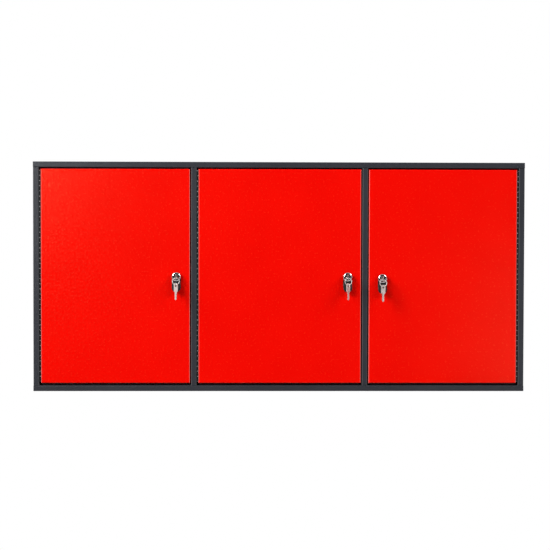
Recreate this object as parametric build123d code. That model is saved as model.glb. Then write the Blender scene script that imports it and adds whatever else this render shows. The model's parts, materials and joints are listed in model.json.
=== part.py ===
from build123d import *
import math
import os
from collections import namedtuple

# Three-door steel wall cabinet. Millimetres, +Z up, front towards -Y.
# The origin is the middle of the back sheet's outer face, which lies on the wall.

# Carcass
CABINET_WIDTH = 1200.0
CABINET_HEIGHT = 560.0
CABINET_DEPTH = 200.0
FRONT_BAND = 14.0
POST_WIDTH = 13.0
MIDDLE_OPENING = 405.0
REAR_FLANGE = 13.0
STOP_LIP = 12.0
NOTCH_GAP = 0.2

# Sheet steel
SHEET = 0.8
INNER_BEND = 1.2

# Wall fixing holes
WALL_HOLE_DIAMETER = 8.5
WALL_HOLE_INSET = 50.0

# Shelves and their clips
SHELF_HEIGHT = 15.0
SHELF_SETBACK = 45.0
SHELF_SIDE_GAP = 1.5
SHELF_REAR_GAP = 3.0
CLIP_ROWS = 5
CLIP_PITCH = 50.0
CLIP_HOLE_DIAMETER = 5.0
CLIP_PEG_FIT = 0.1
CLIP_SHEET = 1.5
CLIP_WIDTH = 12.0
CLIP_LEG = 14.0
CLIP_TONGUE = 9.0
CLIP_INSET = 18.0
CLIP_STAGGER = 20.0

# Doors
DOOR_DEPTH = 16.0
DOOR_REAR_LIP = 12.0
TOP_GAP = 3.5
BOTTOM_GAP = 6.0
LOCK_GAP = 3.0
STIFFENER_WIDTH = 40.0
STIFFENER_BRIM = 12.0
STIFFENER_HEIGHT = 10.0
STIFFENER_END_GAP = 3.0

# Rubber buffers on the stop lips
BUFFER_DIAMETER = 7.0
BUFFER_HEIGHT = 1.7
BUFFER_EDGE = 0.4
BUFFER_GAP = 0.3

# Continuous hinges
HINGE_GAP = 4.8
HINGE_SETBACK = 1.5
HINGE_END_GAP = 4.0
LEAF_SHEET = 0.8
LEAF_MARGIN = 1.5
KNUCKLE_PITCH = 12.7
KNUCKLE_GAP = 1.4
KNUCKLE_CLEARANCE = 0.3
LEAF_NOTCH_CLEARANCE = 0.5
PIN_DIAMETER = 2.0
PIN_FIT = 0.06

# Pull handle, measured from the lock's axis
LOCK_INSET = 33.0
HANDLE_WIDTH = 21.4
HANDLE_DROP = 26.6
HANDLE_SEAT = 7.0
HANDLE_LIP = 13.5
HANDLE_LIP_WALL = 5.0
HANDLE_SCOOP = 11.0
HANDLE_EDGE = 1.2

# Cam lock
BEZEL_DIAMETER = 22.6
BEZEL_HEIGHT = 4.0
BEZEL_EDGE = 3.6
BARREL_DIAMETER = 16.0
BARREL_FIT = 0.2
NUT_FLATS = 22.0
NUT_HEIGHT = 4.0
NUT_FIT = 0.05
NUT_CORNER = 1.0
PLUG_HEAD_DIAMETER = 14.0
PLUG_HEAD_HEIGHT = 2.0
PLUG_RECESS = 0.3
PLUG_DIAMETER = 11.0
PLUG_FIT = 0.06
PLUG_END_PLAY = 0.1
CAM_SHEET = 2.5
CAM_WIDTH = 18.0
CAM_TIP_WIDTH = 11.0
CAM_HOOK = 5.0
CAM_PLAY = 0.8
CAM_CLEARANCE = 0.8
CAM_SQUARE = 6.0
CAM_SQUARE_FIT = 0.1
CAM_CORNER = 2.0
SCREW_DIAMETER = 4.0
SCREW_LENGTH = 6.0
SCREW_FIT = 0.05
SCREW_HEAD_DIAMETER = 9.0
SCREW_HEAD_HEIGHT = 2.2
SCREW_HEAD_EDGE = 0.6

# Keys and ring
KEY_SHEET = 1.6
KEY_FIT = 0.15
BOW_LENGTH = 21.5
BOW_WIDTH = 12.5
BOW_CORNER = 3.5
BOW_STANDOFF = 2.0
BLADE_LENGTH = 19.5
BLADE_WIDTH = 5.5
BLADE_TIP = 2.5
BLADE_GROOVE = 0.9
BLADE_GROOVE_DEPTH = 0.4
KEY_CUT_DEPTHS = (1.1, 0.6, 1.5, 0.8)
KEY_CUT_PITCH = 3.4
KEY_CUT_START = 5.0
KEY_CUT_FLAT = 0.7
KEY_HOLE_DIAMETER = 7.0
KEY_HOLE_INSET = 5.5
RING_DIAMETER = 16.5
RING_WIRE = 1.5
RING_FIT = 0.3
SPARE_FIT = 1.1

# Worked-out places
HALF_WIDTH = CABINET_WIDTH / 2
HALF_HEIGHT = CABINET_HEIGHT / 2
FRONT = -CABINET_DEPTH
OUTER_BEND = INNER_BEND + SHEET
OPENING_TOP = HALF_HEIGHT - FRONT_BAND
POST_CENTRE = (MIDDLE_OPENING + POST_WIDTH) / 2
WALL_HOLE_SPAN_X = CABINET_WIDTH - 2 * WALL_HOLE_INSET
WALL_HOLE_SPAN_Z = CABINET_HEIGHT - 2 * WALL_HOLE_INSET
STOP_DEPTH = DOOR_DEPTH + BUFFER_HEIGHT + BUFFER_GAP
CAM_FRONT = DOOR_DEPTH + CAM_CLEARANCE
FRAME_RETURN = CAM_FRONT - CAM_PLAY
DOOR_TOP = OPENING_TOP - TOP_GAP
DOOR_BOTTOM = -OPENING_TOP + BOTTOM_GAP
DOOR_HEIGHT = DOOR_TOP - DOOR_BOTTOM
DOOR_MIDDLE = (DOOR_TOP + DOOR_BOTTOM) / 2
HINGE_HALF_GAP = HINGE_GAP / 2
HINGE_LENGTH = DOOR_HEIGHT - 2 * HINGE_END_GAP
HINGE_LINE = FRONT + HINGE_SETBACK
LEAF_WIDTH = DOOR_DEPTH - HINGE_SETBACK - LEAF_MARGIN
KNUCKLE_RADIUS = HINGE_HALF_GAP - KNUCKLE_CLEARANCE
KNUCKLE_PAIRS = round((HINGE_LENGTH / KNUCKLE_PITCH - 1) / 2)
KNUCKLE_COUNT = 2 * KNUCKLE_PAIRS + 1
SHELF_FRONT = FRONT + SHELF_SETBACK
SHELF_REAR = -2 * SHEET - SHELF_REAR_GAP
SHELF_UNDERSIDE = CLIP_LEG / 2
BEZEL_FRONT = HANDLE_SEAT + BEZEL_HEIGHT
PLUG_FACE = BEZEL_FRONT - PLUG_RECESS
KEY_LENGTH = BOW_LENGTH + BLADE_LENGTH
KEY_END = PLUG_FACE + BOW_STANDOFF + BOW_LENGTH
RING_LINE = KEY_END - KEY_HOLE_INSET
RIM_WIDTH = (BOW_WIDTH - KEY_HOLE_DIAMETER) / 2
RIM_MIDDLE = -(BOW_WIDTH + KEY_HOLE_DIAMETER) / 4
RIM_REACH = math.hypot(RIM_WIDTH, KEY_SHEET) / 2
RING_INNER_RADIUS = (RING_DIAMETER - RING_WIRE) / 2
RING_MIDDLE = RIM_MIDDLE + RIM_REACH + RING_FIT - RING_INNER_RADIUS
SPARE_HOLE = RING_MIDDLE - RING_INNER_RADIUS + SPARE_FIT - KEY_HOLE_DIAMETER / 2
SPARE_TOP = SPARE_HOLE + KEY_HOLE_INSET

# Each door: its name, the opening that it fills, its hinge side, the height of its lock above the middle
# and how far its spare key has turned on the ring
Door = namedtuple("Door", "name opening_left opening_right hinge_on_right lock_height spare_twist")
DOORS = (
    Door("left", -HALF_WIDTH + FRONT_BAND, -POST_CENTRE - POST_WIDTH / 2, False, 0.0, 47.0),
    Door("middle", -MIDDLE_OPENING / 2, MIDDLE_OPENING / 2, False, 0.0, -45.0),
    Door("right", POST_CENTRE + POST_WIDTH / 2, HALF_WIDTH - FRONT_BAND, True, -3.6, -46.0),
)


def door_width(door):
    """Outside width of a door: its opening less the hinge gap and the lock gap."""
    return door.opening_right - door.opening_left - HINGE_GAP - LOCK_GAP


def hinge_x(door):
    """Where a door's hinge line stands, in the middle of the gap on its hinge side."""
    if door.hinge_on_right:
        return door.opening_right - HINGE_HALF_GAP
    return door.opening_left + HINGE_HALF_GAP


def lock_x(door):
    """The lock's distance from the hinge line."""
    return HINGE_HALF_GAP + door_width(door) - LOCK_INSET


def seat(piece, door):
    """Carries a piece from a door's own frame, hinge at x = 0 and door towards +X, into the cabinet."""
    if door.hinge_on_right:
        piece = mirror(piece, about=Plane.YZ)
    return Pos(hinge_x(door), 0, 0) * piece


def seat_on_lock(piece, door):
    """Carries a piece from the lock's frame, its axis at the origin on the door's face, into the cabinet."""
    return seat(Pos(lock_x(door), FRONT, door.lock_height) * piece, door)


def block(x, y, z):
    """A plain block between two limits on each axis."""
    middle = [(low + high) / 2 for low, high in (x, y, z)]
    size = [high - low for low, high in (x, y, z)]
    return Pos(*middle) * Box(*size)


def folded_sheet(points, plane, length, side=Side.LEFT, sheet=SHEET, bend=OUTER_BEND):
    """A strip of sheet folded along a line of points, with round bends, run out from a plane."""
    line = FilletPolyline(*points, radius=bend)
    section = make_face(offset(line, amount=sheet, side=side))
    return extrude(plane * section, amount=length, dir=plane.z_dir)


def rounded_block(width, length, depth, edge):
    """A block with its top face at z = 0 and that face's four edges rounded."""
    solid = Pos(0, 0, -depth / 2) * Box(width, length, depth)
    return fillet(solid.faces().sort_by(Axis.Z)[-1].edges(), edge)


def tray(width, length, depth):
    """A sheet with a wall folded down on all four sides: outer face at z = 0, open below."""
    outside = rounded_block(width, length, depth, OUTER_BEND)
    inside = rounded_block(width - 2 * SHEET, length - 2 * SHEET, depth, INNER_BEND)
    return outside - Pos(0, 0, -SHEET) * inside


def drilled(solid, axis, diameter, places, thickness=SHEET):
    """Round holes along an axis, right through a wall of a given thickness at each place."""
    turn = Rot(0, 90, 0) if axis == Axis.X else Rot(90, 0, 0)
    drill = turn * Cylinder(diameter / 2, 4 * thickness)
    return solid - [Pos(*place) * drill for place in places]


# Carcass
def top_panel():
    """Top sheet: rear flange, plate, front band, return over the doors and the lip that stops them."""
    outline = (
        (-SHEET, HALF_HEIGHT - REAR_FLANGE),
        (-SHEET, HALF_HEIGHT),
        (FRONT, HALF_HEIGHT),
        (FRONT, OPENING_TOP),
        (FRONT + STOP_DEPTH, OPENING_TOP),
        (FRONT + STOP_DEPTH, OPENING_TOP - STOP_LIP),
    )
    panel = folded_sheet(outline, Plane.YZ.offset(-HALF_WIDTH), CABINET_WIDTH)
    side_notch = block(
        (HALF_WIDTH - SHEET - NOTCH_GAP, HALF_WIDTH + SHEET),
        (FRONT + SHEET, SHEET),
        (OPENING_TOP - STOP_LIP - SHEET, HALF_HEIGHT - SHEET),
    )
    return panel - side_notch - mirror(side_notch, about=Plane.YZ)


def clip_columns(door_name):
    """The two distances from the wall at which a compartment's shelf clips hang."""
    shift = CLIP_STAGGER if door_name == "middle" else 0.0
    return SHELF_FRONT + CLIP_INSET + shift, SHELF_REAR - CLIP_INSET - shift


def clip_holes(x, door_names):
    """Every clip hole in an upright sheet at x that serves the named compartments."""
    rows = [(row - (CLIP_ROWS - 1) / 2) * CLIP_PITCH for row in range(CLIP_ROWS)]
    return [(x, y, z) for name in door_names for y in clip_columns(name) for z in rows]


def left_side_panel():
    """Side sheet: rear flange, wall, front band and the return that carries the hinge."""
    outline = (
        (-HALF_WIDTH + REAR_FLANGE, -SHEET),
        (-HALF_WIDTH, -SHEET),
        (-HALF_WIDTH, FRONT),
        (-HALF_WIDTH + FRONT_BAND, FRONT),
        (-HALF_WIDTH + FRONT_BAND, FRONT + FRAME_RETURN),
    )
    inside = HALF_HEIGHT - SHEET
    panel = folded_sheet(outline, Plane.XY.offset(-inside), 2 * inside)
    behind_band = block(
        (-HALF_WIDTH - SHEET, -HALF_WIDTH + FRONT_BAND + SHEET),
        (FRONT - SHEET, FRONT + SHEET),
        (OPENING_TOP, HALF_HEIGHT),
    )
    over_return = block(
        (-HALF_WIDTH + SHEET, -HALF_WIDTH + FRONT_BAND + SHEET),
        (FRONT - SHEET, FRONT + FRAME_RETURN + SHEET),
        (OPENING_TOP, HALF_HEIGHT),
    )
    over_rear_flange = block(
        (-HALF_WIDTH + SHEET, -HALF_WIDTH + REAR_FLANGE + SHEET),
        (-2 * SHEET - OUTER_BEND, SHEET),
        (HALF_HEIGHT - REAR_FLANGE - NOTCH_GAP, HALF_HEIGHT),
    )
    for notch in (behind_band, over_return, over_rear_flange):
        panel -= notch
        panel -= mirror(notch, about=Plane.XY)
    return drilled(panel, Axis.X, CLIP_HOLE_DIAMETER, clip_holes(-HALF_WIDTH, ["left"]))


def back_panel():
    """Flat back sheet with the four wall fixing holes."""
    sheet = block((-HALF_WIDTH, HALF_WIDTH), (-SHEET, 0), (-HALF_HEIGHT, HALF_HEIGHT))
    spots = GridLocations(WALL_HOLE_SPAN_X, WALL_HOLE_SPAN_Z, 2, 2).locations
    places = [(spot.position.X, 0, spot.position.Y) for spot in spots]
    return drilled(sheet, Axis.Y, WALL_HOLE_DIAMETER, places)


def left_post():
    """Front post between two doors: a channel whose legs carry a hinge and catch the cams."""
    left, right = -POST_CENTRE - POST_WIDTH / 2, -POST_CENTRE + POST_WIDTH / 2
    outline = (
        (left, FRONT + FRAME_RETURN),
        (left, FRONT),
        (right, FRONT),
        (right, FRONT + FRAME_RETURN),
    )
    return folded_sheet(outline, Plane.XY.offset(-OPENING_TOP), 2 * OPENING_TOP)


def left_partition():
    """Upright sheet behind the post, flanged along the back, notched round the top and bottom folds."""
    face = -POST_CENTRE - SHEET / 2
    outline = (
        (face, FRONT + SHEET),
        (face, -SHEET),
        (face + REAR_FLANGE, -SHEET),
    )
    inside = HALF_HEIGHT - SHEET
    panel = folded_sheet(outline, Plane.XY.offset(-inside), 2 * inside, side=Side.RIGHT)
    across = (face - SHEET, face + REAR_FLANGE + SHEET)
    round_lip = block(
        across,
        (FRONT, FRONT + STOP_DEPTH + SHEET + NOTCH_GAP),
        (OPENING_TOP - STOP_LIP - NOTCH_GAP, HALF_HEIGHT),
    )
    round_rear_flange = block(
        across,
        (-2 * SHEET - INNER_BEND, SHEET),
        (HALF_HEIGHT - REAR_FLANGE - NOTCH_GAP, HALF_HEIGHT),
    )
    for notch in (round_lip, round_rear_flange):
        panel -= notch
        panel -= mirror(notch, about=Plane.XY)
    return drilled(panel, Axis.X, CLIP_HOLE_DIAMETER, clip_holes(face, ["left", "middle"]))


# Shelves
def compartment(door):
    """The clear width behind a door, between the two upright sheets."""
    left = -POST_CENTRE + SHEET / 2 if door.name == "middle" else -HALF_WIDTH + SHEET
    right = POST_CENTRE - SHEET / 2 if door.name == "middle" else -POST_CENTRE - SHEET / 2
    return (-right, -left) if door.name == "right" else (left, right)


def shelf(door):
    """A tray turned face up, resting on four clips."""
    left, right = compartment(door)
    pan = tray(right - left - 2 * SHELF_SIDE_GAP, SHELF_REAR - SHELF_FRONT, SHELF_HEIGHT)
    top = SHELF_UNDERSIDE + SHELF_HEIGHT
    return Pos((left + right) / 2, (SHELF_FRONT + SHELF_REAR) / 2, top) * pan


def shelf_clip():
    """Bent clip on a wall at x = 0: a tongue under the shelf, a leg on the wall, a peg in its hole."""
    outline = (
        (0, -CLIP_LEG / 2),
        (0, SHELF_UNDERSIDE),
        (CLIP_TONGUE, SHELF_UNDERSIDE),
    )
    plane = Plane.XZ.offset(-CLIP_WIDTH / 2)
    bent = folded_sheet(outline, plane, CLIP_WIDTH, Side.RIGHT, CLIP_SHEET, 2 * CLIP_SHEET)
    length = CLIP_SHEET / 2 + SHEET
    peg = Cylinder(CLIP_HOLE_DIAMETER / 2 - CLIP_PEG_FIT, length)
    return bent + Pos(CLIP_SHEET / 2 - length / 2, 0, 0) * Rot(0, 90, 0) * peg


def shelf_clips():
    """Four clips in each compartment, two on each wall."""
    clips = []
    for door in DOORS:
        left, right = compartment(door)
        for y in clip_columns(door.name):
            clips.append(Pos(left, y, 0) * shelf_clip())
            clips.append(Pos(right, y, 0) * mirror(shelf_clip(), about=Plane.YZ))
    return clips


def buffers():
    """A rubber button on the top and bottom stop lips behind each door's lock-side corners."""
    button = Cylinder(BUFFER_DIAMETER / 2, BUFFER_HEIGHT)
    button = fillet(button.faces().sort_by(Axis.Z)[-1].edges(), BUFFER_EDGE)
    button = Pos(0, FRONT + STOP_DEPTH - BUFFER_HEIGHT / 2, 0) * Rot(90, 0, 0) * button
    lip_middle = OPENING_TOP - STOP_LIP + BUFFER_DIAMETER / 2
    placed = []
    for door in DOORS:
        x = HINGE_HALF_GAP + door_width(door) - DOOR_REAR_LIP / 2
        for z in (-lip_middle, lip_middle):
            placed.append(seat(Pos(x, 0, z) * button, door))
    return placed


# Hinges, made with the hinge line at x = 0 and the frame towards -X
def hinge_leaf(first):
    """A flat strip on the frame's side, with every second rolled knuckle from the first one given."""
    outer, inner = -HINGE_HALF_GAP, -HINGE_HALF_GAP + LEAF_SHEET
    notch = KNUCKLE_RADIUS + LEAF_NOTCH_CLEARANCE
    pitch = HINGE_LENGTH / KNUCKLE_COUNT
    tongue = Pos((outer + inner) / 2, notch / 2) * Rectangle(LEAF_SHEET, notch)
    section = Circle(KNUCKLE_RADIUS) + tongue - Circle(PIN_DIAMETER / 2 + PIN_FIT)
    knuckle = extrude(section, amount=pitch - KNUCKLE_GAP)
    foot = DOOR_MIDDLE - HINGE_LENGTH / 2
    strip = block((outer, inner), (notch, LEAF_WIDTH), (foot, foot + HINGE_LENGTH))
    places = [foot + pitch * n + KNUCKLE_GAP / 2 for n in range(first, KNUCKLE_COUNT, 2)]
    leaf = strip + [Pos(0, 0, z) * knuckle for z in places]
    return Pos(0, HINGE_LINE, 0) * leaf


def hinge_pin():
    """The long pin through all knuckles."""
    return Pos(0, HINGE_LINE, DOOR_MIDDLE) * Cylinder(PIN_DIAMETER / 2, HINGE_LENGTH)


# Doors
def door_panel(door):
    """A tray facing the front, with rear lips along both uprights and the hole for the lock."""
    width = door_width(door)
    left, right = HINGE_HALF_GAP, HINGE_HALF_GAP + width
    face = Plane(((left + right) / 2, FRONT, DOOR_MIDDLE), x_dir=(1, 0, 0), z_dir=(0, -1, 0))
    rear = (FRONT + DOOR_DEPTH - SHEET, FRONT + DOOR_DEPTH)
    height = (DOOR_BOTTOM + SHEET, DOOR_TOP - SHEET)
    hinge_lip = block((left + SHEET, left + DOOR_REAR_LIP), rear, height)
    lock_lip = block((right - DOOR_REAR_LIP, right - SHEET), rear, height)
    panel = face * tray(width, DOOR_HEIGHT, DOOR_DEPTH) + [hinge_lip, lock_lip]
    place = (lock_x(door), FRONT, door.lock_height)
    return drilled(panel, Axis.Y, BARREL_DIAMETER + 2 * BARREL_FIT, [place])


def door_stiffener(door):
    """Hat-shaped upright welded to the inside of the door's face."""
    middle = HINGE_HALF_GAP + door_width(door) / 2
    half, brim = STIFFENER_WIDTH / 2, STIFFENER_WIDTH / 2 + STIFFENER_BRIM
    seat_y = FRONT + SHEET
    crown_y = seat_y + STIFFENER_HEIGHT - SHEET
    outline = (
        (middle - brim, seat_y),
        (middle - half, seat_y),
        (middle - half, crown_y),
        (middle + half, crown_y),
        (middle + half, seat_y),
        (middle + brim, seat_y),
    )
    foot = DOOR_BOTTOM + SHEET + STIFFENER_END_GAP
    length = DOOR_HEIGHT - 2 * (SHEET + STIFFENER_END_GAP)
    return folded_sheet(outline, Plane.XY.offset(foot), length)


# Handle and lock, made with the lock axis along Y at the origin and the door's face at y = 0
def handle():
    """Pull handle: a round-ended outline whose face sweeps out to a lip with a scoop behind it."""
    top = HANDLE_WIDTH / 2
    end = -HANDLE_DROP - HANDLE_WIDTH / 2
    seat_end = -BEZEL_DIAMETER / 2 - HANDLE_EDGE
    lip_start = end + HANDLE_LIP_WALL
    scoop_end = (HANDLE_LIP_WALL - HANDLE_LIP, end)
    foot = (0, end + HANDLE_SCOOP)
    side_view = [
        Polyline(foot, (0, top), (-HANDLE_SEAT, top), (-HANDLE_SEAT, seat_end)),
        Spline((-HANDLE_SEAT, seat_end), (-HANDLE_LIP, lip_start), tangents=((0, -1), (0, -1))),
        Polyline((-HANDLE_LIP, lip_start), (-HANDLE_LIP, end), scoop_end),
        EllipticalCenterArc((0, end), HANDLE_LIP - HANDLE_LIP_WALL, HANDLE_SCOOP, 90, arc_size=90),
    ]
    swept = extrude(Plane.YZ * make_face(side_view), amount=HANDLE_WIDTH, both=True)
    outline = Pos(0, -HANDLE_DROP / 2) * SlotCenterToCenter(HANDLE_DROP, HANDLE_WIDTH, 90)
    body = swept & extrude(Plane.XZ * outline, amount=HANDLE_LIP + HANDLE_SEAT)
    front = [edge for edge in body.edges() if edge.bounding_box().max.Y < -HANDLE_SEAT + HANDLE_EDGE]
    rim = [edge for edge in front if edge.length > HANDLE_LIP_WALL and edge.center().Z > end + HANDLE_EDGE]
    body = fillet(rim, HANDLE_EDGE)
    return drilled(body, Axis.Y, BARREL_DIAMETER + 2 * BARREL_FIT, [(0, 0, 0)], HANDLE_SEAT)


def lock_housing():
    """Bezel and barrel turned in one piece, bored for the plug and sunk for the plug's head."""
    bore = PLUG_DIAMETER / 2 + PLUG_FIT
    sink = PLUG_HEAD_DIAMETER / 2 + PLUG_FIT
    sink_floor = -PLUG_FACE + PLUG_HEAD_HEIGHT + PLUG_END_PLAY
    rear = CAM_FRONT - PLUG_END_PLAY
    outline = (
        (sink, -BEZEL_FRONT),
        (BEZEL_DIAMETER / 2, -BEZEL_FRONT),
        (BEZEL_DIAMETER / 2, -HANDLE_SEAT),
        (BARREL_DIAMETER / 2, -HANDLE_SEAT),
        (BARREL_DIAMETER / 2, rear),
        (bore, rear),
        (bore, sink_floor),
        (sink, sink_floor),
    )
    bends = [0, BEZEL_EDGE, 0, 0, 0, 0, 0, 0]
    section = make_face(FilletPolyline(*outline, radius=bends, close=True))
    return revolve(section, Axis.Y)


def lock_nut():
    """Hexagon nut on the barrel, tight on the back of the door's face, with its corners turned off."""
    hexagon = extrude(RegularPolygon(NUT_FLATS / 2, 6, major_radius=False), amount=NUT_HEIGHT)
    corner_radius = NUT_FLATS / math.sqrt(3)
    turned = Pos(0, 0, NUT_HEIGHT / 2) * Cylinder(corner_radius, NUT_HEIGHT)
    turned = chamfer(turned.faces().sort_by(Axis.Z)[-1].edges(), NUT_CORNER / 2, NUT_CORNER)
    bore = Cylinder(BARREL_DIAMETER / 2 + NUT_FIT, 4 * NUT_HEIGHT)
    return Pos(0, SHEET, 0) * Rot(-90, 0, 0) * ((hexagon & turned) - bore)


def lock_plug():
    """Turning plug: head, core, keyway and the square that drives the cam."""
    outline = (
        (0, -PLUG_FACE),
        (PLUG_HEAD_DIAMETER / 2, -PLUG_FACE),
        (PLUG_HEAD_DIAMETER / 2, -PLUG_FACE + PLUG_HEAD_HEIGHT),
        (PLUG_DIAMETER / 2, -PLUG_FACE + PLUG_HEAD_HEIGHT),
        (PLUG_DIAMETER / 2, CAM_FRONT),
        (0, CAM_FRONT),
    )
    core = revolve(make_face(Polyline(*outline, close=True)), Axis.Y)
    half = CAM_SQUARE / 2
    square = block((-half, half), (CAM_FRONT, CAM_FRONT + CAM_SHEET), (-half, half))
    width, height = KEY_SHEET / 2 + KEY_FIT, BLADE_WIDTH / 2 + KEY_FIT
    keyway_end = -PLUG_FACE - BOW_STANDOFF + BLADE_LENGTH + KEY_FIT
    keyway = block((-width, width), (-PLUG_FACE - KEY_FIT, keyway_end), (-height, height))
    tapped = Cylinder(SCREW_DIAMETER / 2, SCREW_LENGTH)
    tapped = Pos(0, CAM_FRONT + CAM_SHEET - SCREW_LENGTH / 2, 0) * Rot(90, 0, 0) * tapped
    return core + square - keyway - tapped


def lock_cam():
    """Flat cam pointing down when unlocked, long enough to swing behind the post's leg."""
    reach = LOCK_INSET + LOCK_GAP + CAM_HOOK
    hub = Circle(CAM_WIDTH / 2)
    arm = make_face(
        Polyline(
            (-CAM_WIDTH / 2, 0),
            (-CAM_TIP_WIDTH / 2, -reach),
            (CAM_TIP_WIDTH / 2, -reach),
            (CAM_WIDTH / 2, 0),
            close=True,
        )
    )
    outline = hub + arm
    outline = fillet(outline.vertices().sort_by(Axis.Y)[:2], CAM_CORNER)
    side = CAM_SQUARE + 2 * CAM_SQUARE_FIT
    plate = extrude(outline - Rectangle(side, side), amount=CAM_SHEET)
    face = Plane((0, CAM_FRONT + CAM_SHEET, 0), x_dir=(1, 0, 0), z_dir=(0, -1, 0))
    return face * plate


def cam_screw():
    """Screw that holds the cam on the plug."""
    head = Pos(0, 0, SCREW_HEAD_HEIGHT / 2) * Cylinder(SCREW_HEAD_DIAMETER / 2, SCREW_HEAD_HEIGHT)
    head = fillet(head.faces().sort_by(Axis.Z)[-1].edges(), SCREW_HEAD_EDGE)
    length = SCREW_LENGTH - SCREW_FIT
    shank = Pos(0, 0, -length / 2) * Cylinder(SCREW_DIAMETER / 2 - SCREW_FIT, length)
    return Pos(0, CAM_FRONT + CAM_SHEET, 0) * Rot(-90, 0, 0) * (head + shank)


# Keys, made flat with the bow's end at the origin and the blade towards +X
def key_blank():
    """Stamped key: rounded bow with its hole, blade with pointed tip, edge cuts and a milled groove."""
    half = BLADE_WIDTH / 2
    bow = Pos(BOW_LENGTH / 2, 0) * RectangleRounded(BOW_LENGTH, BOW_WIDTH, BOW_CORNER)
    blade = make_face(
        Polyline(
            (BOW_LENGTH / 2, -half),
            (KEY_LENGTH - BLADE_TIP, -half),
            (KEY_LENGTH, -half + BLADE_TIP),
            (KEY_LENGTH, half - BLADE_TIP),
            (KEY_LENGTH - BLADE_TIP, half),
            (BOW_LENGTH / 2, half),
            close=True,
        )
    )
    outline = bow + blade - Pos(KEY_HOLE_INSET, 0) * Circle(KEY_HOLE_DIAMETER / 2)
    for number, depth in enumerate(KEY_CUT_DEPTHS):
        middle = BOW_LENGTH + KEY_CUT_START + number * KEY_CUT_PITCH
        floor, edge = KEY_CUT_FLAT / 2, KEY_CUT_FLAT / 2 + depth
        outline -= make_face(
            Polyline(
                (middle - edge, -half),
                (middle - floor, -half + depth),
                (middle + floor, -half + depth),
                (middle + edge, -half),
                close=True,
            )
        )
    key = extrude(outline, amount=KEY_SHEET / 2, both=True)
    groove_end = (BOW_LENGTH - BOW_CORNER, KEY_LENGTH + BLADE_TIP)
    groove_floor = KEY_SHEET / 2 - BLADE_GROOVE_DEPTH
    groove_low = half / 2 - BLADE_GROOVE / 2
    return key - block(groove_end, (groove_low, groove_low + BLADE_GROOVE), (groove_floor, KEY_SHEET))


def inserted_key():
    """The key in the lock, its bow upright and its blade in the keyway."""
    return Plane((0, -KEY_END, 0), x_dir=(0, 1, 0), z_dir=(1, 0, 0)) * key_blank()


def key_ring():
    """Wire ring through the bow's hole, hanging from the bow's lower rim."""
    return Pos(0, -RING_LINE, RING_MIDDLE) * Rot(90, 0, 0) * Torus(RING_DIAMETER / 2, RING_WIRE / 2)


def spare_key(door):
    """The second key, hanging from the ring and turned a little from edge-on."""
    turn = math.radians(door.spare_twist)
    flat = (math.cos(turn), math.sin(turn), 0)
    return Plane((0, -RING_LINE, SPARE_TOP), x_dir=(0, 0, -1), z_dir=flat) * key_blank()


# Every piece by its name
PIECES = {
    "top_panel": top_panel(),
    "bottom_panel": mirror(top_panel(), about=Plane.XY),
    "left_side_panel": left_side_panel(),
    "right_side_panel": mirror(left_side_panel(), about=Plane.YZ),
    "back_panel": back_panel(),
    "left_post": left_post(),
    "right_post": mirror(left_post(), about=Plane.YZ),
    "left_partition": left_partition(),
    "right_partition": mirror(left_partition(), about=Plane.YZ),
    "shelf_clips": Compound(shelf_clips()),
    "door_buffers": Compound(buffers()),
}
for door in DOORS:
    PIECES[f"{door.name}_shelf"] = shelf(door)
    PIECES[f"{door.name}_frame_hinge_leaf"] = seat(hinge_leaf(0), door)
    PIECES[f"{door.name}_hinge_pin"] = seat(hinge_pin(), door)
    PIECES[f"{door.name}_door_hinge_leaf"] = seat(mirror(hinge_leaf(1), about=Plane.YZ), door)
    PIECES[f"{door.name}_door_panel"] = seat(door_panel(door), door)
    PIECES[f"{door.name}_door_stiffener"] = seat(door_stiffener(door), door)
    PIECES[f"{door.name}_handle"] = seat_on_lock(handle(), door)
    PIECES[f"{door.name}_lock_housing"] = seat_on_lock(lock_housing(), door)
    PIECES[f"{door.name}_lock_nut"] = seat_on_lock(lock_nut(), door)
    PIECES[f"{door.name}_lock_plug"] = seat_on_lock(lock_plug(), door)
    PIECES[f"{door.name}_lock_cam"] = seat_on_lock(lock_cam(), door)
    PIECES[f"{door.name}_cam_screw"] = seat_on_lock(cam_screw(), door)
    PIECES[f"{door.name}_key"] = seat_on_lock(inserted_key(), door)
    PIECES[f"{door.name}_key_ring"] = seat_on_lock(key_ring(), door)
    PIECES[f"{door.name}_spare_key"] = seat_on_lock(spare_key(door), door)

os.makedirs("parts", exist_ok=True)
for name, piece in PIECES.items():
    export_step(piece, f"parts/{name}.step")
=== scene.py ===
import json
import math

import bmesh
import bpy
import numpy as np
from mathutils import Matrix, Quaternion, Vector


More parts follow.
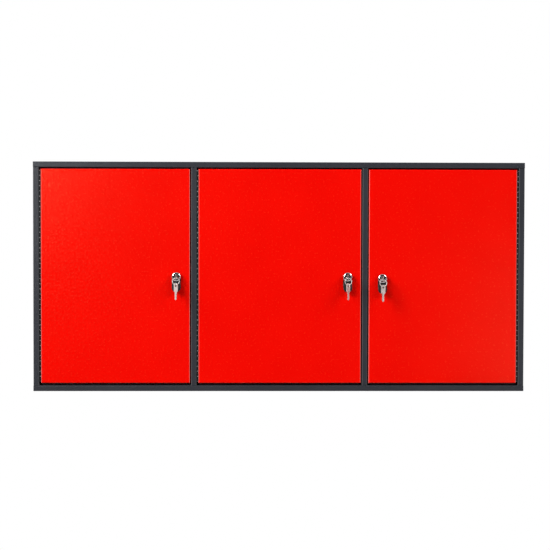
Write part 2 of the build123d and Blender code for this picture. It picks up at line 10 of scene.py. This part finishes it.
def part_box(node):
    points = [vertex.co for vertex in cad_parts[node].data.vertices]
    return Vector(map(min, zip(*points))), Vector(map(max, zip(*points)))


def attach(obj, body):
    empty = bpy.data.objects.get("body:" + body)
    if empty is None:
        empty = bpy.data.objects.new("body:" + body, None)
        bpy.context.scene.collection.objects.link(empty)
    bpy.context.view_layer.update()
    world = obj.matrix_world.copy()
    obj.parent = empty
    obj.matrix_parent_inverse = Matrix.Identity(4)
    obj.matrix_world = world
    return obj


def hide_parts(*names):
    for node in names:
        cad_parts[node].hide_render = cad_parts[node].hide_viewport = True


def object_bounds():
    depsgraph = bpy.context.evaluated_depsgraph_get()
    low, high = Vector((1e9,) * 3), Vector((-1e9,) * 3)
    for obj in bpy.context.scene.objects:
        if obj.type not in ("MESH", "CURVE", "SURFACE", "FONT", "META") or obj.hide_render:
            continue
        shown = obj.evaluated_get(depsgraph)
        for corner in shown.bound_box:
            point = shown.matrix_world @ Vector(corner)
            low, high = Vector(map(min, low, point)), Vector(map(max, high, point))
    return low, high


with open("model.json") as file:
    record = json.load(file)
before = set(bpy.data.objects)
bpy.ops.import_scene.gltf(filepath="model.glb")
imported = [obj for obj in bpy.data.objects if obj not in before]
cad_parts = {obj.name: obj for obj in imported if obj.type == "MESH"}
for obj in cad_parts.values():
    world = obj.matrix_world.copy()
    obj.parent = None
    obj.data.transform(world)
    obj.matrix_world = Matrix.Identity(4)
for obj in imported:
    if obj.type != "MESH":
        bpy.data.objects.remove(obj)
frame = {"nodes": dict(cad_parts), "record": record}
cad_low, cad_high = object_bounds()

# Wall cabinet, metres and radians. The doors face -Y and the back lies on the wall at y = 0.
DOORS = ("left", "middle", "right")
FULL_TURN = 2 * math.pi
MERGE_DISTANCE = 1e-7

# Camera, from the corners of the front in the photograph
EYE = Vector((-0.0797, -3.70, 0.1073))
AIM = Vector((-0.0109, -0.20, 0.0046))
ROLL = 0.0021
LENS = 93.84
SENSOR = 36.0

# Split key ring: two turns of flat wire. The half thickness is a share that leaves a hair between the turns.
RING_JOG = 0.45
RING_STEPS = 160
RING_SECTION_STEPS = 20
RING_SECTION_POWER = 0.35
RING_HALF_THICKNESS = 0.49

# Thread on the lock barrel. The half width is a share of the pitch, and the runout is in turns.
BARREL_RADIUS = 0.008
THREAD_PITCH = 0.0015
THREAD_HEIGHT = 0.0004
THREAD_SINK = 0.00005
THREAD_HALF_WIDTH = 0.45
THREAD_RUNOUT = 0.5
THREAD_STEPS_PER_TURN = 36

# Head of the cam screw and its cross recess
SCREW_ROUND = 0.0007
SCREW_CROWN_RINGS = 22
SCREW_ROUND_RINGS = 7
SCREW_STEPS_PER_TURN = 96
RECESS_ARM = 0.0009
RECESS_REACH = 0.0028
RECESS_DEPTH = 0.0013
RECESS_WALL = 0.0005

# Spot weld marks: their shape, their distance from the edge, and the ends and counts of their rows
WELD_RADIUS = 0.0028
WELD_HEIGHT = 0.00012
WELD_RINGS = 6
WELD_STEPS_PER_TURN = 12
WELD_INSET = 0.0065
FLANGE_ROW_END = 0.05
FLANGE_ROW_WELDS = 14
FLANGE_COLUMN_WELDS = 7
BRIM_ROW_END = 0.02
BRIM_WELDS = 7

# Patterns: the part of its range that noise fills, cells to the metre, and shares of relief and sheen
NOISE_LOW = 0.3
NOISE_HIGH = 0.7
COAT_DRIFT_SCALE = 9.0
COAT_GRAIN_TO_PEEL = 3.6
COAT_GRAIN_SHARE = 0.35
COAT_SHEEN_SPREAD = 0.075
METAL_CLOUD_SCALE = 60.0
METAL_RELIEF = 0.35
MOULDING_CLOUD_SCALE = 120.0
MOULDING_RELIEF = 0.6
MOULDING_SHINIER = 0.06
MOULDING_DULLER = 0.08

# Floor, well below the cabinet. Its white grows from the middle's share to full over a stretch of the radius.
FLOOR_DROP = 1.2
FLOOR_RADIUS = 2.6
FLOOR_RINGS = 12
FLOOR_STEPS_PER_TURN = 64
FLOOR_CLOUD_SCALE = 6.0
FLOOR_DARK = (0.26, 0.26, 0.26)
FLOOR_PALE = (0.29, 0.29, 0.29)
FLOOR_ROUGHNESS = 0.8
FLOOR_MIDDLE_WHITE = 0.4
FLOOR_WHITE_START = 0.4
FLOOR_WHITE_END = 0.98

# Lamps: place, side and power in watts. All face a point in the middle of the front.
LAMPS = {
    "left_soft_box": ((-4.7, -3.8, 3.8), 2.5, 465),
    "right_soft_box": ((4.7, -3.8, 3.8), 2.5, 265),
    "left_front_lamp": ((-1.72, -3.6, 0.76), 0.6, 30),
    "right_front_lamp": ((1.75, -3.6, -0.50), 0.9, 5),
}
LAMP_TARGET = Vector((0, -0.2, 0))

# World: strength in front of the cabinet, and the direction's Y from which it grows to full at 0
ROOM_DIM = 0.03
ROOM_FADE_START = -0.45


# Mesh helpers
def surface(name, points):
    """A mesh from points on a grid of two parameters, or on a stack of such grids, with a quad between each
    four neighbours. The second parameter goes all the way round, so its last column joins its first. Doubled
    points, as at a pole, are merged."""
    rows, columns = points.shape[-3:-1]
    u, v = np.meshgrid(np.arange(rows - 1), np.arange(columns), indexing="ij")
    next_u, next_v = u + 1, (v + 1) % columns
    corners = (u * columns + v, next_u * columns + v, next_u * columns + next_v, u * columns + next_v)
    quads = np.stack(corners, axis=-1).reshape(1, -1, 4)
    first = np.arange(points.size // (3 * rows * columns)) * rows * columns
    quads = (quads + first[:, None, None]).reshape(-1, 4)
    mesh = bpy.data.meshes.new(name)
    mesh.from_pydata(points.reshape(-1, 3), [], quads)
    merged = bmesh.new()
    merged.from_mesh(mesh)
    bmesh.ops.remove_doubles(merged, verts=merged.verts, dist=MERGE_DISTANCE)
    bmesh.ops.recalc_face_normals(merged, faces=merged.faces)
    merged.to_mesh(mesh)
    merged.free()
    mesh.shade_smooth()
    piece = bpy.data.objects.new(name, mesh)
    bpy.context.scene.collection.objects.link(piece)
    return piece


def smooth(x):
    """The smooth step from 0 to 1: three x squared less two x cubed, held at its ends."""
    x = np.clip(x, 0, 1)
    return x * x * (3 - 2 * x)


def round_steps(count):
    """Angles of so many equal steps round a full turn."""
    return np.linspace(0, FULL_TURN, count, endpoint=False)


# Material helpers
def tree(owner):
    """The nodes and links of a material or world."""
    return owner.node_tree.nodes, owner.node_tree.links


def new_material(name):
    """A new material with its shader and the Object coordinates that its patterns read."""
    material = bpy.data.materials.new(name)
    material.use_nodes = True
    nodes = material.node_tree.nodes
    shader = nodes["Principled BSDF"]
    place = nodes.new("ShaderNodeTexCoord").outputs["Object"]
    return material, shader, place


def noise(material, place, scale, detail=3.0, roughness=0.5, stretch=None):
    """Noise of so many cells to the metre, stretched along the axes where asked. Its value lies round 0.5."""
    nodes, links = tree(material)
    if stretch:
        mapping = nodes.new("ShaderNodeMapping")
        mapping.inputs["Scale"].default_value = stretch
        links.new(place, mapping.inputs["Vector"])
        place = mapping.outputs["Vector"]
    texture = nodes.new("ShaderNodeTexNoise")
    texture.inputs["Scale"].default_value = scale
    texture.inputs["Detail"].default_value = detail
    texture.inputs["Roughness"].default_value = roughness
    links.new(place, texture.inputs["Vector"])
    return texture.outputs["Fac"]


def spread(material, value, low, high, start=NOISE_LOW, end=NOISE_HIGH):
    """A value carried from the range start to end onto the range low to high."""
    nodes, links = tree(material)
    ramp = nodes.new("ShaderNodeMapRange")
    ramp.inputs["From Min"].default_value = start
    ramp.inputs["From Max"].default_value = end
    ramp.inputs["To Min"].default_value = low
    ramp.inputs["To Max"].default_value = high
    links.new(value, ramp.inputs["Value"])
    return ramp.outputs["Result"]


def two_colours(material, value, low, high):
    """A colour between two, by a value of noise."""
    nodes, links = tree(material)
    ramp = nodes.new("ShaderNodeValToRGB")
    ramp.color_ramp.elements[0].position = NOISE_LOW
    ramp.color_ramp.elements[0].color = (*low, 1)
    ramp.color_ramp.elements[1].position = NOISE_HIGH
    ramp.color_ramp.elements[1].color = (*high, 1)
    links.new(value, ramp.inputs["Fac"])
    return ramp.outputs["Color"]


def bumps(material, shader, value, depth, strength=1.0):
    """Relief of a given depth in metres from a value."""
    nodes, links = tree(material)
    bump = nodes.new("ShaderNodeBump")
    bump.inputs["Strength"].default_value = strength
    bump.inputs["Distance"].default_value = depth
    links.new(value, bump.inputs["Height"])
    links.new(bump.outputs["Normal"], shader.inputs["Normal"])


def math_node(owner, operation, first, second):
    """The sum, product or larger of two values, either of which may be a plain number."""
    nodes, links = tree(owner)
    node = nodes.new("ShaderNodeMath")
    node.operation = operation
    for value, socket in zip((first, second), node.inputs):
        if isinstance(value, float):
            socket.default_value = value
        else:
            links.new(value, socket)
    return node.outputs["Value"]


def fold_highlight_mask(material):
    """Mask for the painted highlight on upright folds: 1 half way round an upright fold, 0 on flat sheet:
    four times the squared product of the normal's sideways and forward parts, in the piece's own directions."""
    nodes, links = tree(material)
    parts = nodes.new("ShaderNodeSeparateXYZ")
    links.new(nodes.new("ShaderNodeTexCoord").outputs["Normal"], parts.inputs["Vector"])
    product = math_node(material, "MULTIPLY", parts.outputs["X"], parts.outputs["Y"])
    return math_node(material, "MULTIPLY", math_node(material, "MULTIPLY", product, product), 4.0)


# Finishes
def powder_coat(name, low, high, fold_highlight, sheen, roughness, specular, peel_scale, depth):
    """Powder coat: colour that drifts a little over the sheet, with a painted highlight of paler colour on
    upright folds, long orange peel with fine grain on it, and a speckled sheen with a tint of its own."""
    material, shader, place = new_material(name)
    nodes, links = tree(material)
    drift = noise(material, place, COAT_DRIFT_SCALE, detail=4.0)
    colour = nodes.new("ShaderNodeMix")
    colour.data_type = "RGBA"
    # Painted highlight: a paler colour is mixed in on upright folds, where the bends catch light.
    links.new(fold_highlight_mask(material), colour.inputs["Factor"])
    links.new(two_colours(material, drift, low, high), colour.inputs["A"])
    colour.inputs["B"].default_value = (*fold_highlight, 1)
    links.new(colour.outputs["Result"], shader.inputs["Base Color"])
    peel = noise(material, place, peel_scale, detail=1.0, roughness=0.4)
    grain = noise(material, place, COAT_GRAIN_TO_PEEL * peel_scale, detail=2.0, roughness=0.6)
    speckle = spread(material, peel, roughness - COAT_SHEEN_SPREAD, roughness + COAT_SHEEN_SPREAD)
    links.new(speckle, shader.inputs["Roughness"])
    relief = math_node(material, "ADD", peel, math_node(material, "MULTIPLY", grain, COAT_GRAIN_SHARE))
    bumps(material, shader, relief, depth)
    shader.inputs["Specular IOR Level"].default_value = specular
    shader.inputs["Specular Tint"].default_value = (*sheen, 1)
    return material


def metal(name, low, high, rough_low, rough_high, scale, stretch=None, depth=0.00002):
    """Bare or plated metal: a slightly cloudy tint, with fine lines or specks in its sheen and relief."""
    material, shader, place = new_material(name)
    links = material.node_tree.links
    cloud = noise(material, place, METAL_CLOUD_SCALE)
    links.new(two_colours(material, cloud, low, high), shader.inputs["Base Color"])
    lines = noise(material, place, scale, roughness=0.6, stretch=stretch)
    links.new(spread(material, lines, rough_low, rough_high), shader.inputs["Roughness"])
    bumps(material, shader, lines, depth, METAL_RELIEF)
    shader.inputs["Metallic"].default_value = 1.0
    return material


def black_moulding(name, low, high, roughness, specular, scale, depth):
    """Black plastic or rubber: spark-eroded grain in its relief and sheen."""
    material, shader, place = new_material(name)
    links = material.node_tree.links
    cloud = noise(material, place, MOULDING_CLOUD_SCALE)
    links.new(two_colours(material, cloud, low, high), shader.inputs["Base Color"])
    grain = noise(material, place, scale, detail=2.0, roughness=0.6)
    speckle = spread(material, grain, roughness - MOULDING_SHINIER, roughness + MOULDING_DULLER)
    links.new(speckle, shader.inputs["Roughness"])
    bumps(material, shader, grain, depth, MOULDING_RELIEF)
    shader.inputs["Specular IOR Level"].default_value = specular
    return material


# Each powder coat's paler colour on upright folds is a painted highlight.
FINISHES = {
    "carcass_paint": powder_coat(
        "anthracite_powder_coat",
        low=(0.024, 0.0255, 0.032),
        high=(0.030, 0.0315, 0.039),
        fold_highlight=(0.10, 0.10, 0.105),
        sheen=(0.95, 0.97, 1.0),
        roughness=0.36,
        specular=0.42,
        peel_scale=330.0,
        depth=0.00026,
    ),
    "door_paint": powder_coat(
        "red_powder_coat",
        low=(0.84, 0.0014, 0.0002),
        high=(0.88, 0.0020, 0.0004),
        fold_highlight=(0.92, 0.20, 0.18),
        sheen=(1.0, 0.92, 0.45),
        roughness=0.215,
        specular=0.30,
        peel_scale=200.0,
        depth=0.00028,
    ),
    "hinge_black": powder_coat(
        "black_hinge_lacquer",
        low=(0.004, 0.004, 0.005),
        high=(0.007, 0.007, 0.008),
        fold_highlight=(0.012, 0.012, 0.012),
        sheen=(1, 1, 1),
        roughness=0.5,
        specular=0.15,
        peel_scale=450.0,
        depth=0.00008,
    ),
    "zinc_steel": metal(
        "bright_zinc",
        low=(0.58, 0.60, 0.62),
        high=(0.68, 0.69, 0.69),
        rough_low=0.28,
        rough_high=0.45,
        scale=700.0,
    ),
    "pin_steel": metal(
        "drawn_wire",
        low=(0.84, 0.84, 0.84),
        high=(0.92, 0.92, 0.92),
        rough_low=0.62,
        rough_high=0.76,
        scale=900.0,
        stretch=(1, 1, 0.04),
    ),
    "lock_chrome": metal(
        "polished_chrome",
        low=(0.74, 0.74, 0.75),
        high=(0.80, 0.80, 0.81),
        rough_low=0.09,
        rough_high=0.18,
        scale=500.0,
        depth=0.000004,
    ),
    "key_nickel": metal(
        "nickel_plate",
        low=(0.74, 0.72, 0.69),
        high=(0.84, 0.82, 0.79),
        rough_low=0.20,
        rough_high=0.34,
        scale=1500.0,
        stretch=(1, 1, 0.08),
    ),
    "ring_wire": metal(
        "satin_ring_wire",
        low=(0.84, 0.82, 0.80),
        high=(0.92, 0.90, 0.88),
        rough_low=0.50,
        rough_high=0.66,
        scale=1500.0,
    ),
    "handle_plastic": black_moulding(
        "black_grained_plastic",
        low=(0.008, 0.008, 0.009),
        high=(0.014, 0.014, 0.015),
        roughness=0.40,
        specular=0.3,
        scale=1800.0,
        depth=0.00006,
    ),
    "buffer_rubber": black_moulding(
        "black_rubber",
        low=(0.012, 0.012, 0.012),
        high=(0.026, 0.026, 0.026),
        roughness=0.75,
        specular=0.3,
        scale=900.0,
        depth=0.0001,
    ),
}


def finish_piece(piece, slot, finish=None):
    """Gives a piece its finish, the slot's own where none is named."""
    piece.data.materials.clear()
    piece.data.materials.append(FINISHES[finish or slot])


for row in frame["record"]["subparts"]:
    node = frame["nodes"][row["node"]]
    node.data.materials.clear()
    node.data.materials.append(FINISHES[row["material_slot"]])


# Pieces
def middle(node):
    """Middle of a node's box."""
    low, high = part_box(node)
    return np.array((low + high) / 2)


def sheet_thickness():
    """Thickness of the steel sheet, from the flat back panel."""
    low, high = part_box("back_panel")
    return high.y - low.y


def split_ring(door):
    """Split ring: a rounded rectangle carried along two turns of a circle. It lies on one side for the first
    turn, steps across by a wire's thickness over a short jog, and lies on the other side for the second turn.
    The section shrinks to a point at both ends, which closes them."""
    node = f"{door}_key_ring"
    low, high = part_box(node)
    centre, outer, thick = middle(node), (high.x - low.x) / 2, (high.y - low.y) / 2
    wire = thick * 2
    radius = outer - wire / 2
    turn = np.linspace(RING_JOG, 2 * FULL_TURN - RING_JOG, RING_STEPS)
    turn = np.pad(turn, 1, mode="edge")[:, None]
    across = thick * (smooth((turn - FULL_TURN + RING_JOG) / (2 * RING_JOG)) - 0.5)
    size = np.pad(np.ones(RING_STEPS), 1)[:, None]
    section = round_steps(RING_SECTION_STEPS)
    box_x = np.sign(np.cos(section)) * np.abs(np.cos(section)) ** RING_SECTION_POWER
    box_y = np.sign(np.sin(section)) * np.abs(np.sin(section)) ** RING_SECTION_POWER
    reach = radius + size * box_x * wire / 2
    x = centre[0] + reach * np.cos(turn)
    y = centre[1] + across + size * box_y * thick * RING_HALF_THICKNESS
    z = centre[2] + reach * np.sin(turn)
    ring = surface(f"{door}_split_ring", np.stack((x, y, z), axis=-1))
    finish_piece(ring, "key_nickel", "ring_wire")
    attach(ring, f"{door}_key_ring")
    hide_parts(node)


def barrel_thread(door):
    """Thread on the lock barrel: a triangle carried along a helix from the nut to the barrel's end, its foot
    sunk a little into the barrel and its height dying away over half a turn at both ends."""
    centre = middle(f"{door}_lock_plug")
    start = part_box(f"{door}_lock_nut")[1].y + THREAD_PITCH / 2
    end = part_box(f"{door}_lock_housing")[1].y - THREAD_PITCH / 2
    turns = (end - start) / THREAD_PITCH
    turn = np.linspace(0, turns, int(turns * THREAD_STEPS_PER_TURN))
    height = THREAD_HEIGHT * smooth(turn / THREAD_RUNOUT) * smooth((turns - turn) / THREAD_RUNOUT)
    foot = np.full_like(turn, BARREL_RADIUS - THREAD_SINK)
    radius = np.stack((foot, BARREL_RADIUS + height, foot), axis=1)
    width = np.array((-THREAD_HALF_WIDTH, 0, THREAD_HALF_WIDTH)) * THREAD_PITCH
    angle = (turn * FULL_TURN)[:, None]
    x = centre[0] + radius * np.cos(angle)
    y = (start + turn * THREAD_PITCH)[:, None] + width
    z = centre[2] + radius * np.sin(angle)
    thread = surface(f"{door}_barrel_thread", np.stack((x, y, z), axis=-1))
    finish_piece(thread, "lock_chrome")
    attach(thread, f"{door}_door")


def cam_screw_head(door):
    """Pan head with a cross recess: a profile of radius and height turned round the axis, from the crown's
    middle over the rounded rim to the seat and back to the axis. A cross-shaped pit lies in the crown."""
    node = f"{door}_cam_screw"
    low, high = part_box(node)
    centre, rim = middle(node), (high.x - low.x) / 2
    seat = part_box(f"{door}_lock_cam")[1].y
    tall = high.y - seat
    flat = np.linspace(0, rim - SCREW_ROUND, SCREW_CROWN_RINGS)
    bend = np.linspace(0, math.pi / 2, SCREW_ROUND_RINGS)[1:]
    round_radius = rim - SCREW_ROUND + SCREW_ROUND * np.sin(bend)
    round_height = tall - SCREW_ROUND + SCREW_ROUND * np.cos(bend)
    radius = np.concatenate((flat, round_radius, [rim, 0]))[:, None]
    height = np.concatenate((np.full_like(flat, tall), round_height, [0, 0]))[:, None]
    angle = round_steps(SCREW_STEPS_PER_TURN)
    x, z = radius * np.cos(angle), radius * np.sin(angle)
    arm_x = np.maximum(np.abs(x) - RECESS_REACH, np.abs(z) - RECESS_ARM)
    arm_z = np.maximum(np.abs(z) - RECESS_REACH, np.abs(x) - RECESS_ARM)
    inside = smooth(0.5 - np.minimum(arm_x, arm_z) / RECESS_WALL)
    crown = (np.arange(len(radius)) < SCREW_CROWN_RINGS)[:, None]
    y = seat + height - crown * inside * RECESS_DEPTH
    head = surface(node + "_head", np.stack((centre[0] + x, y, centre[2] + z), axis=-1))
    finish_piece(head, "zinc_steel")
    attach(head, f"{door}_lock_core")
    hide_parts(node)


def weld_marks(name, slot, body, x, y, z, facing):
    """Prints of spot welds: at each place a ring-shaped swelling, the squared sine of the way from middle to
    rim."""
    way = np.linspace(0, 1, WELD_RINGS)[:, None]
    angle = round_steps(WELD_STEPS_PER_TURN)
    swell = facing * WELD_HEIGHT * np.sin(math.pi * way) ** 2 * np.ones_like(angle)
    places = np.stack(np.broadcast_arrays(x, y, z), axis=-1).reshape(-1, 1, 1, 3)
    shape = np.stack((WELD_RADIUS * way * np.cos(angle), swell, WELD_RADIUS * way * np.sin(angle)), axis=-1)
    marks = surface(name, places + shape)
    finish_piece(marks, slot)
    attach(marks, body)


def carcass_welds():
    """Welds along the rear flanges, which lie against the back panel: rows along the top and bottom, columns
    down the sides and partitions."""
    sheet = sheet_thickness()
    y = -2 * sheet
    across = np.linspace(cad_low.x + FLANGE_ROW_END, cad_high.x - FLANGE_ROW_END, FLANGE_ROW_WELDS)
    up = np.linspace(cad_low.z + FLANGE_ROW_END, cad_high.z - FLANGE_ROW_END, FLANGE_COLUMN_WELDS)
    left_partition, right_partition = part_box("left_partition")[1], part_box("right_partition")[0]
    rows = {
        "top_flange_welds": (across, cad_high.z - WELD_INSET),
        "bottom_flange_welds": (across, cad_low.z + WELD_INSET),
        "left_flange_welds": (cad_low.x + WELD_INSET, up),
        "right_flange_welds": (cad_high.x - WELD_INSET, up),
        "left_partition_welds": (left_partition.x - WELD_INSET + sheet, up),
        "right_partition_welds": (right_partition.x + WELD_INSET - sheet, up),
    }
    for name, (x, z) in rows.items():
        weld_marks(name, "carcass_paint", "cabinet", x, y, z, -1)


def stiffener_welds(door):
    """Welds down both brims of the door's stiffener."""
    low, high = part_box(f"{door}_door_stiffener")
    x = np.array((low.x + WELD_INSET, high.x - WELD_INSET))[:, None]
    y = low.y + sheet_thickness()
    z = np.linspace(low.z + BRIM_ROW_END, high.z - BRIM_ROW_END, BRIM_WELDS)[None, :]
    weld_marks(f"{door}_stiffener_welds", "door_paint", f"{door}_door", x, y, z, 1)


for door in DOORS:
    split_ring(door)
    barrel_thread(door)
    cam_screw_head(door)
    stiffener_welds(door)
carcass_welds()


# Stage: pale floor, a soft box and a weak front lamp at each side, white background
def floor_paint():
    """Pale and a little cloudy. To camera, glossy and transmission rays it turns white towards the rim."""
    material, shader, place = new_material("pale_floor")
    nodes, links = tree(material)
    cloud = noise(material, place, FLOOR_CLOUD_SCALE)
    links.new(two_colours(material, cloud, FLOOR_DARK, FLOOR_PALE), shader.inputs["Base Color"])
    shader.inputs["Roughness"].default_value = FLOOR_ROUGHNESS
    flatten = nodes.new("ShaderNodeMapping")
    flatten.inputs["Scale"].default_value = (1, 1, 0)
    links.new(place, flatten.inputs["Vector"])
    length = nodes.new("ShaderNodeVectorMath")
    length.operation = "LENGTH"
    links.new(flatten.outputs["Vector"], length.inputs[0])
    start, end = FLOOR_WHITE_START * FLOOR_RADIUS, FLOOR_WHITE_END * FLOOR_RADIUS
    rim = spread(material, length.outputs["Value"], FLOOR_MIDDLE_WHITE, 1, start, end)
    rays = nodes.new("ShaderNodeLightPath").outputs
    shiny = math_node(material, "MAXIMUM", rays["Is Glossy Ray"], rays["Is Transmission Ray"])
    seen = math_node(material, "MAXIMUM", rays["Is Camera Ray"], shiny)
    white = nodes.new("ShaderNodeEmission")
    mix = nodes.new("ShaderNodeMixShader")
    links.new(math_node(material, "MULTIPLY", rim, seen), mix.inputs["Fac"])
    links.new(shader.outputs["BSDF"], mix.inputs[1])
    links.new(white.outputs["Emission"], mix.inputs[2])
    links.new(mix.outputs["Shader"], nodes["Material Output"].inputs["Surface"])
    return material


def floor():
    """A flat disc well below the cabinet, on rings of growing radius round a middle point."""
    radius = np.linspace(0, FLOOR_RADIUS, FLOOR_RINGS)[:, None]
    angle = round_steps(FLOOR_STEPS_PER_TURN)
    x, y = radius * np.cos(angle), radius * np.sin(angle)
    z = np.full_like(x, cad_low.z - FLOOR_DROP)
    disc = surface("floor", np.stack((x, y, z), axis=-1))
    disc.data.materials.append(floor_paint())


def soft_box(name, place, side, power):
    """A square lamp that faces the front."""
    lamp = bpy.data.lights.new(name, "AREA")
    lamp.shape = "SQUARE"
    lamp.size = side
    lamp.energy = power
    holder = bpy.data.objects.new(name, lamp)
    bpy.context.scene.collection.objects.link(holder)
    holder.location = place
    holder.rotation_euler = (LAMP_TARGET - Vector(place)).to_track_quat("-Z", "Y").to_euler()


def white_world():
    """White to camera and transmission rays. To all other rays, white behind the cabinet and dim in front."""
    world = bpy.data.worlds.new("studio")
    bpy.context.scene.world = world
    world.use_nodes = True
    nodes, links = tree(world)
    direction = nodes.new("ShaderNodeSeparateXYZ")
    links.new(nodes.new("ShaderNodeTexCoord").outputs["Generated"], direction.inputs["Vector"])
    fade = nodes.new("ShaderNodeMapRange")
    fade.interpolation_type = "SMOOTHSTEP"
    fade.inputs["From Min"].default_value = ROOM_FADE_START
    fade.inputs["From Max"].default_value = 0.0
    fade.inputs["To Min"].default_value = ROOM_DIM
    fade.inputs["To Max"].default_value = 1.0
    links.new(direction.outputs["Y"], fade.inputs["Value"])
    room = nodes["Background"]
    room.inputs["Color"].default_value = (1, 1, 1, 1)
    links.new(fade.outputs["Result"], room.inputs["Strength"])
    white = nodes.new("ShaderNodeBackground")
    white.inputs["Color"].default_value = (1, 1, 1, 1)
    white.inputs["Strength"].default_value = 1.0
    rays = nodes.new("ShaderNodeLightPath").outputs
    seen = math_node(world, "MAXIMUM", rays["Is Camera Ray"], rays["Is Transmission Ray"])
    mix = nodes.new("ShaderNodeMixShader")
    links.new(seen, mix.inputs["Fac"])
    links.new(room.outputs["Background"], mix.inputs[1])
    links.new(white.outputs["Background"], mix.inputs[2])
    links.new(mix.outputs["Shader"], nodes["World Output"].inputs["Surface"])


def camera():
    """The photograph's viewpoint, a little above and left of the middle."""
    data = bpy.data.cameras.new("camera")
    data.sensor_width = SENSOR
    data.lens = LENS
    holder = bpy.data.objects.new("camera", data)
    bpy.context.scene.collection.objects.link(holder)
    holder.location = EYE
    look = (AIM - EYE).to_track_quat("-Z", "Y")
    holder.rotation_mode = "QUATERNION"
    holder.rotation_quaternion = look @ Quaternion((0, 0, 1), ROLL)
    bpy.context.scene.camera = holder


floor()
for name, (place, side, power) in LAMPS.items():
    soft_box(name, place, side, power)
white_world()
camera()
bpy.context.scene.view_settings.view_transform = "Standard"
